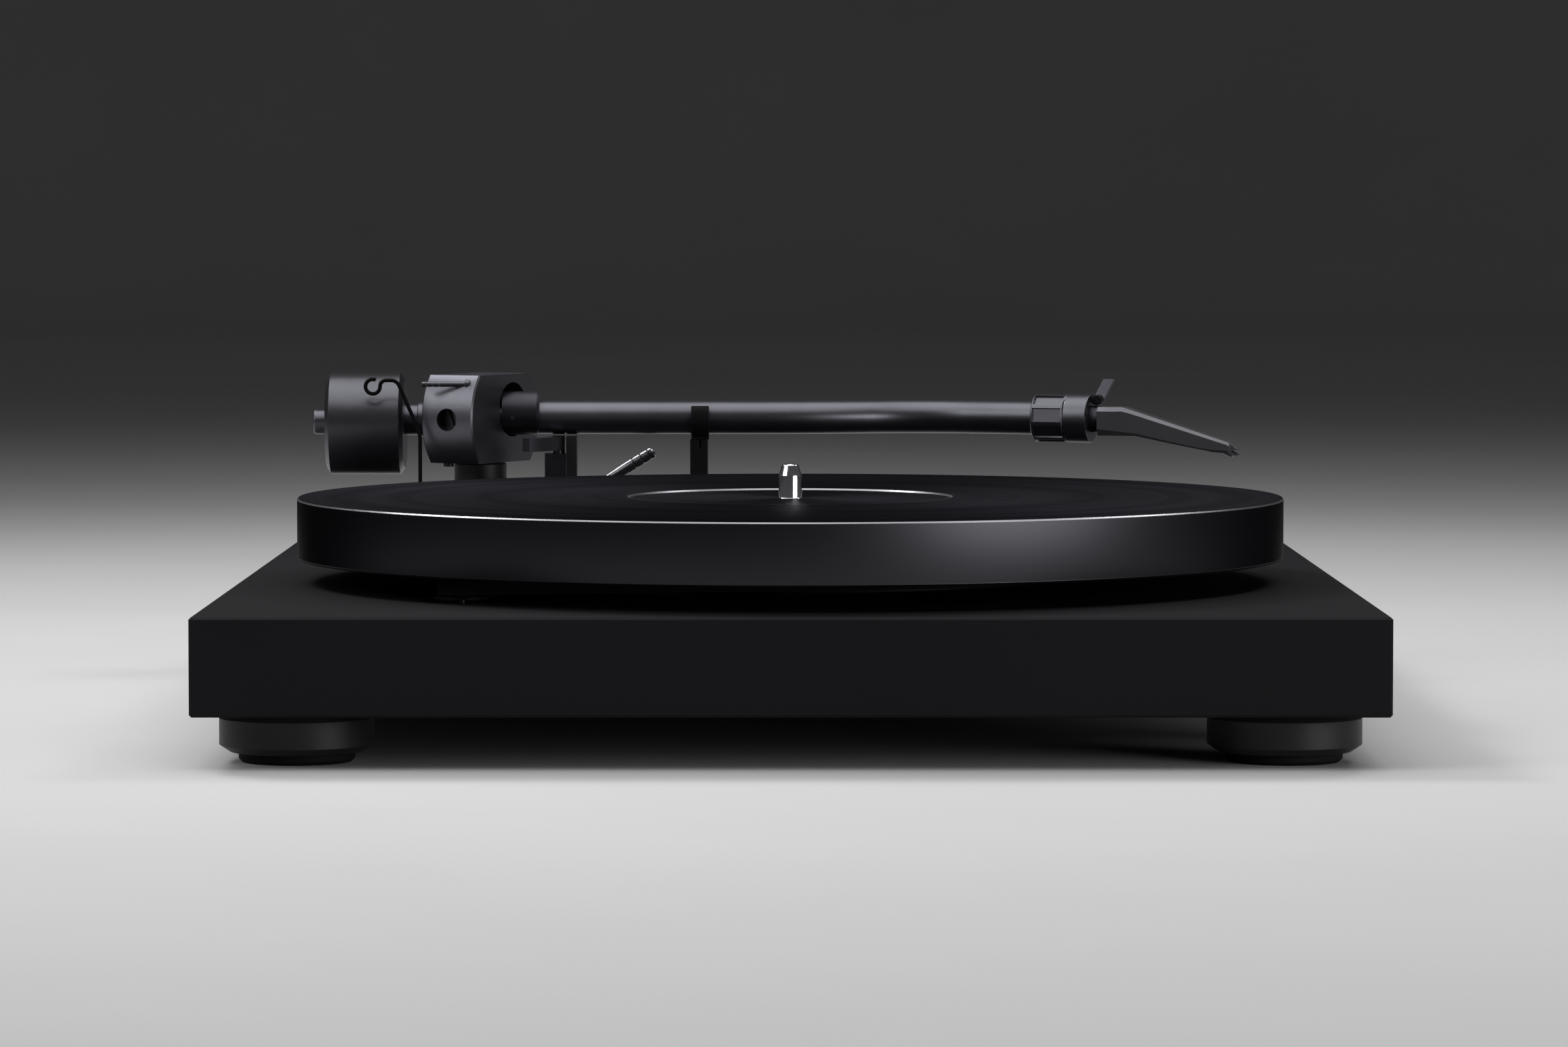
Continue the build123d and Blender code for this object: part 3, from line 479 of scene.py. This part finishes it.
def make_fixings():
    """Screw heads on the arm base and below the plinth, and the sockets' insulators."""
    plate_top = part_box("arm_base")[1].z
    reach = 28 * MM
    for number, angle in enumerate((radians(100), radians(205), radians(320)), 1):
        at = Vector((PIVOT.x + reach * cos(angle), PIVOT.y + reach * sin(angle), plate_top))
        socket_screw(f"arm_base_screw_{number}", at, UP, 2.6 * MM, 2.2 * MM, "polished_steel")
    for cover, inset in (("motor_cover", 0.17), ("board_cover", 0.08)):
        low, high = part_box(cover)
        for number in range(4):
            x = low.x + (high.x - low.x) * (inset if number % 2 else 1 - inset)
            y = low.y + (high.y - low.y) * (inset + 0.02 if number // 2 else 0.98 - inset)
            at = Vector((x, y, low.z))
            socket_screw(f"{cover}_screw_{number + 1}", at, -UP, 1.9 * MM, 0.9 * MM, "plated_steel")
    for name, finish in (("line_out_left", "white_insulator"), ("line_out_right", "red_insulator")):
        low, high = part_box(name)
        at = Vector(((low.x + high.x) / 2, high.y - 0.4 * MM, (low.z + high.z) / 2))
        rim, hole = 3.3 * MM, 1.7 * MM
        profile = [(hole, 0), (rim, 0), (rim, 0.45 * MM), (hole, 0.45 * MM), (hole, 0)]
        ring = turned(name + "_insulator", profile, at, Vector((0, 1, 0)), 48)
        place(name + "_insulator", ring, "base", finish)


def finish_cad_nodes():
    """Every other CAD node: rounded edges where it shows, and a better material."""
    edge_widths = {"bearing_ring": 0.25, "counterweight": 0.4, "tube_collar": 0.35, "head_socket": 0.15,
                   "rear_shaft": 0.25, "arm_base": 0.5, "arm_pillar": 0.3, "height_clamp_screw": 0.3,
                   "lift_housing": 0.15, "lift_bar": 0.3, "lift_lever": 0.12, "rest_post": 0.3,
                   "rest_clip": 0.2, "antiskate_stub": 0.08, "ring_screw": 0.15, "connector_bracket": 0.2,
                   "board_cover": 0.3, "switch_housing": 0.3, "speed_rocker": 0.3, "power_inlet": 0.15,
                   "ground_post": 0.15, "motor_cover": 0.3, "stylus_carrier": 0.15}
    finishes = {"arm_pillar": "satin_black_metal", "lift_bar": "dim_metal", "ring_screw": "dim_metal",
                "antiskate_stub": "dark_aluminium", "tube_collar": "collar_metal",
                "pivot_screw_inner": "collar_metal", "pivot_screw_outer": "collar_metal",
                "lift_lever": "satin_steel", "collar_screw": "satin_steel", "motor_shaft": "dim_metal",
                "pulley": "black_plastic"}
    for node, width in edge_widths.items():
        refined(node, width * MM, finish=finishes.get(node))
    for node, piece in NODES.items():
        piece.data.materials.clear()
        piece.data.materials.append(FINISHES[finishes.get(node, SLOT_OF[node])])


# ---------------------------------------------------------------- floor, light and camera
def make_stage():
    """A pale floor that curves up into a pale backdrop."""
    shader = Shader("pale_floor", Roughness=0.8)
    shader.link("Base Color", shader.tint(shader.noise(3.0), (0.47, 0.47, 0.47), (0.5, 0.5, 0.5)))
    work = bmesh.new()
    near, far, side, bend = -6.0, 6.5, 8.0, 1.0
    profile = [(near, 0.0), (far - bend, 0.0)]
    for step in range(1, 16):
        turn = radians(6 * step)
        profile.append((far - bend + bend * sin(turn), bend - bend * cos(turn)))
    profile.append((far, 4.0))
    rows = [[work.verts.new((x, y, z)) for y in (-side, side)] for x, z in profile]
    for low, high in zip(rows, rows[1:]):
        work.faces.new([low[0], low[1], high[1], high[0]])
    floor = bpy.data.objects.new("floor", mesh_from(work, "floor"))
    bpy.context.scene.collection.objects.link(floor)
    floor.data.shade_smooth()
    floor.data.materials.append(shader.material)


def area_light(name, at, target, size, power, spread):
    """A rectangular softbox that points at a target."""
    light = bpy.data.lights.new(name, "AREA")
    light.shape = "RECTANGLE"
    light.size, light.size_y = size
    light.energy = power
    light.spread = radians(spread)
    lamp = bpy.data.objects.new(name, light)
    bpy.context.scene.collection.objects.link(lamp)
    lamp.location = at
    lamp.rotation_euler = (Vector(target) - Vector(at)).to_track_quat("-Z", "Y").to_euler()


def make_lights():
    """A large softbox overhead, one on each side of the camera, and two behind for the rims."""
    world = bpy.data.worlds.new("studio")
    bpy.context.scene.world = world
    world.use_nodes = True
    world.node_tree.nodes["Background"].inputs["Color"].default_value = (0.5, 0.5, 0.52, 1)
    world.node_tree.nodes["Background"].inputs["Strength"].default_value = 0.12
    target = (0, 0, DECK)
    area_light("top_softbox", (-0.15, 0.1, 1.35), (-0.15, 0.1, 0), (2.2, 1.9), 13.5, 125)
    area_light("left_softbox", (-0.68, 1.2, 0.92), target, (1.2, 0.8), 2.0, 80)
    area_light("right_softbox", (-0.85, -0.98, 0.2), target, (0.95, 0.34), 1.3, 80)
    area_light("rear_left_softbox", (0.62, 0.92, 1.25), target, (0.5, 0.4), 3.0, 90)
    area_light("rear_right_softbox", (0.62, -0.92, 1.25), target, (0.5, 0.4), 1.5, 90)


def make_camera():
    """On the player's left side, looking across it and a little down."""
    distance, aside, height, tilt = 1.8299, 0.0019, 0.1163, radians(3.10)
    camera = bpy.data.objects.new("camera", bpy.data.cameras.new("camera"))
    bpy.context.scene.collection.objects.link(camera)
    camera.location = (SPINDLE.x - distance, SPINDLE.y + aside, DECK + height)
    camera.rotation_euler = (pi / 2 - tilt, 0, -pi / 2)
    camera.data.sensor_width = 36
    camera.data.lens = 137.9
    camera.data.clip_start, camera.data.clip_end = 0.05, 30
    bpy.context.scene.camera = camera


make_camera()
finish_cad_nodes()
make_plinth()
make_platter()
make_spindle()
make_locking_ring()
make_cartridge()
make_finger_lift()
make_fixings()
make_stage()
make_lights()
bpy.context.scene.view_settings.view_transform = "Standard"
